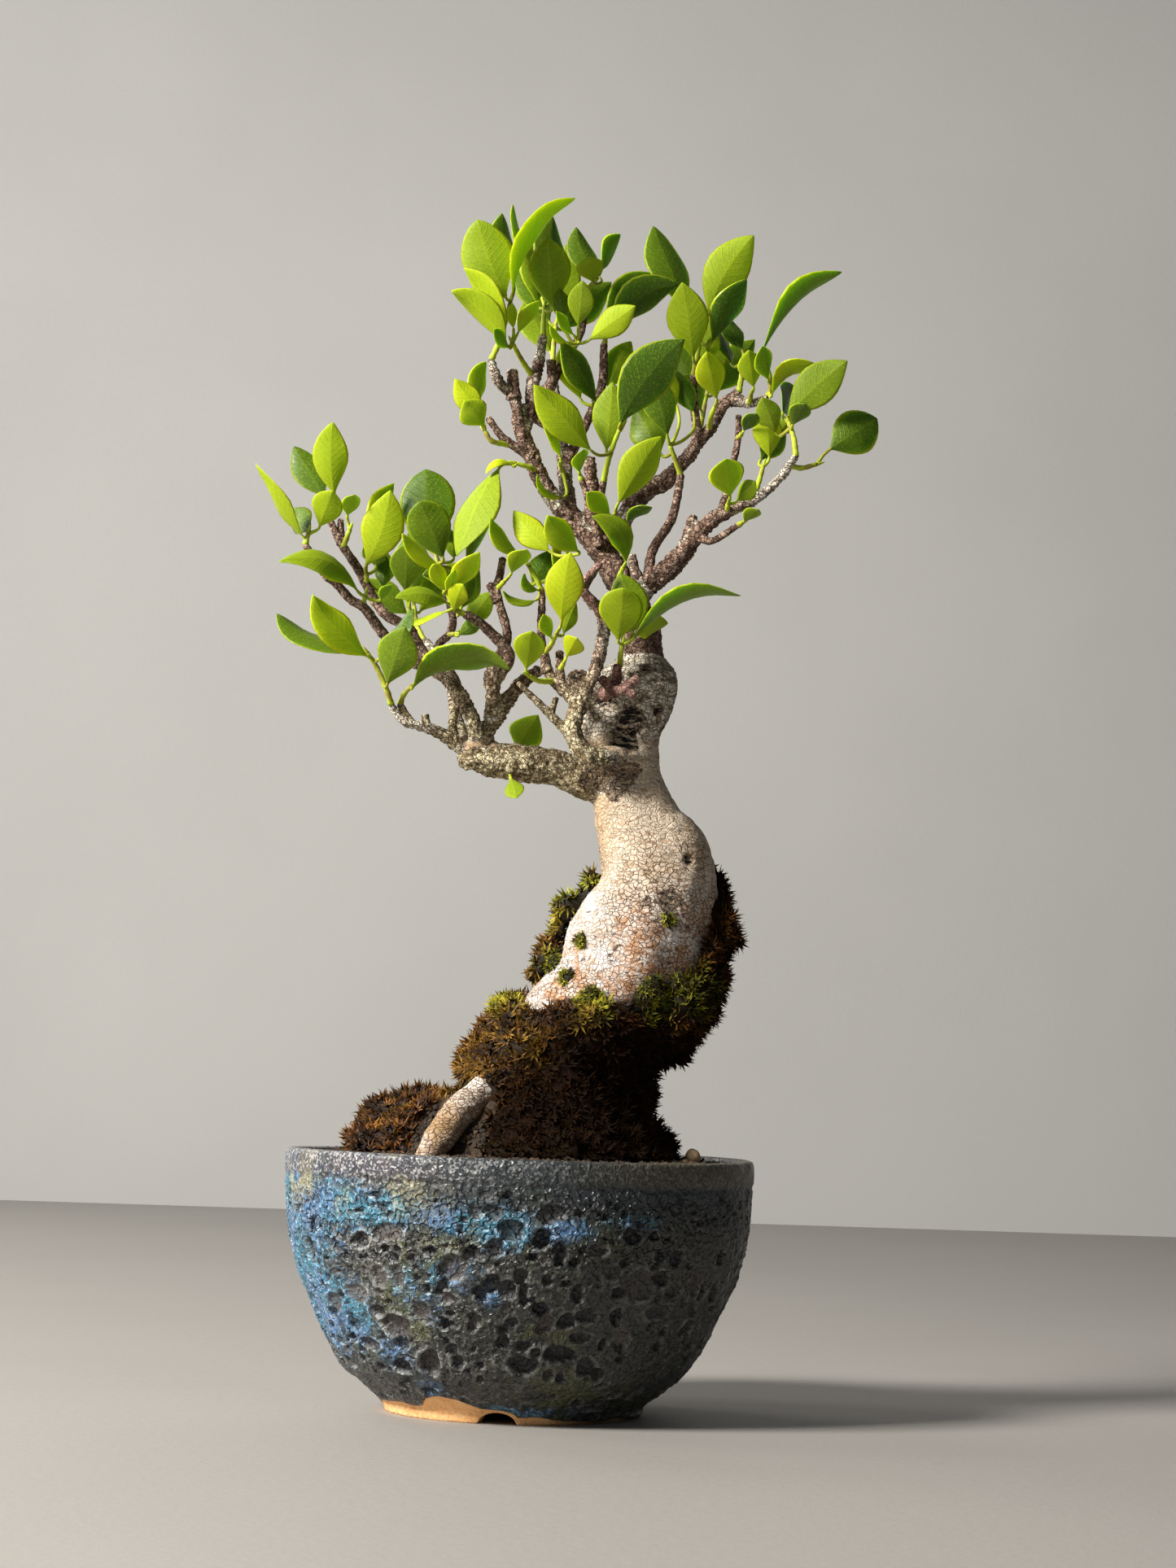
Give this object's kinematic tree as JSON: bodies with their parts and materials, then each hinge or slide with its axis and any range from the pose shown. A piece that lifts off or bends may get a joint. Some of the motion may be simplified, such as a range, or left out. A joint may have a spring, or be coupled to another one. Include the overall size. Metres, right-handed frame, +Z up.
{
  "type": "bonsai tree in a pot",
  "caption": "Small ficus bonsai with a moss-wrapped trunk and glossy oval leaves, growing in a round crater-glazed bowl pot on a bare clay foot.",
  "frame": {"origin": "middle of the bounding box in x and y, on the plane that the pot's foot stands on; the pot's axis is at x = -9.3 mm, y = 0", "axes": "+Z up, along the tree's height; the tree's front faces -Y and its long left branch points to -X"},
  "size_m": [0.198, 0.15, 0.4001],
  "materials": {
    "pot_glaze": "pitted crater glaze, satin to gloss, bare orange clay foot",
    "mesh_plastic": "matte",
    "staple_wire": "satin",
    "soil": "loose dark granules, matte",
    "bark": "fine cracked bark, matte",
    "moss": "pointed tufts, golden brown with green patches, matte",
    "pebble": "matte",
    "leaf_young": "thin, translucent, glossy on top",
    "leaf_mature": "leathery, glossy on top, pale below"
  },
  "bodies": {
    "root": {"drainage_mesh": "mesh_plastic", "leaves_back_01": "leaf_mature", "leaves_back_02": "leaf_mature", "leaves_back_03": "leaf_mature", "leaves_crown_01": "leaf_young", "leaves_crown_02": "leaf_young", "leaves_crown_03": "leaf_mature", "leaves_crown_04": "leaf_mature", "leaves_crown_05": "leaf_young", "leaves_crown_06": "leaf_mature", "leaves_left_01": "leaf_mature", "leaves_left_02": "leaf_young", "leaves_left_03": "leaf_young", "leaves_left_04": "leaf_young", "leaves_left_05": "leaf_mature", "leaves_left_06": "leaf_mature", "leaves_left_07": "leaf_mature", "leaves_left_08": "leaf_mature", "leaves_left_09": "leaf_young", "leaves_left_10": "leaf_mature", "leaves_left_11": "leaf_young", "leaves_left_12": "leaf_young", "leaves_left_13": "leaf_mature", "leaves_left_15": "leaf_mature", "leaves_left_16": "leaf_mature", "leaves_left_18": "leaf_young", "leaves_middle_01": "leaf_mature", "leaves_middle_02": "leaf_young", "leaves_middle_03": "leaf_young", "leaves_middle_04": "leaf_young", "leaves_middle_05": "leaf_young", "leaves_middle_06": "leaf_young", "leaves_middle_07": "leaf_young", "leaves_middle_08": "leaf_mature", "leaves_middle_09": "leaf_young", "leaves_middle_10": "leaf_young", "leaves_middle_11": "leaf_mature", "leaves_middle_12": "leaf_mature", "leaves_middle_13": "leaf_mature", "leaves_right_01": "leaf_young", "leaves_right_02": "leaf_young", "leaves_right_03": "leaf_young", "leaves_right_04": "leaf_mature", "leaves_right_05": "leaf_young", "leaves_right_06": "leaf_mature", "leaves_right_07": "leaf_mature", "leaves_right_08": "leaf_young", "leaves_right_09": "leaf_mature", "leaves_right_10": "leaf_mature", "leaves_right_11": "leaf_young", "mesh_staple": "staple_wire", "moss_left_flank": "moss", "moss_left_heap": "moss", "moss_mound": "moss", "moss_right_flank": "moss", "pebble": "pebble", "pot": "pot_glaze", "soil": "soil", "tree_wood": "bark"}
  },
  "joints": []
}
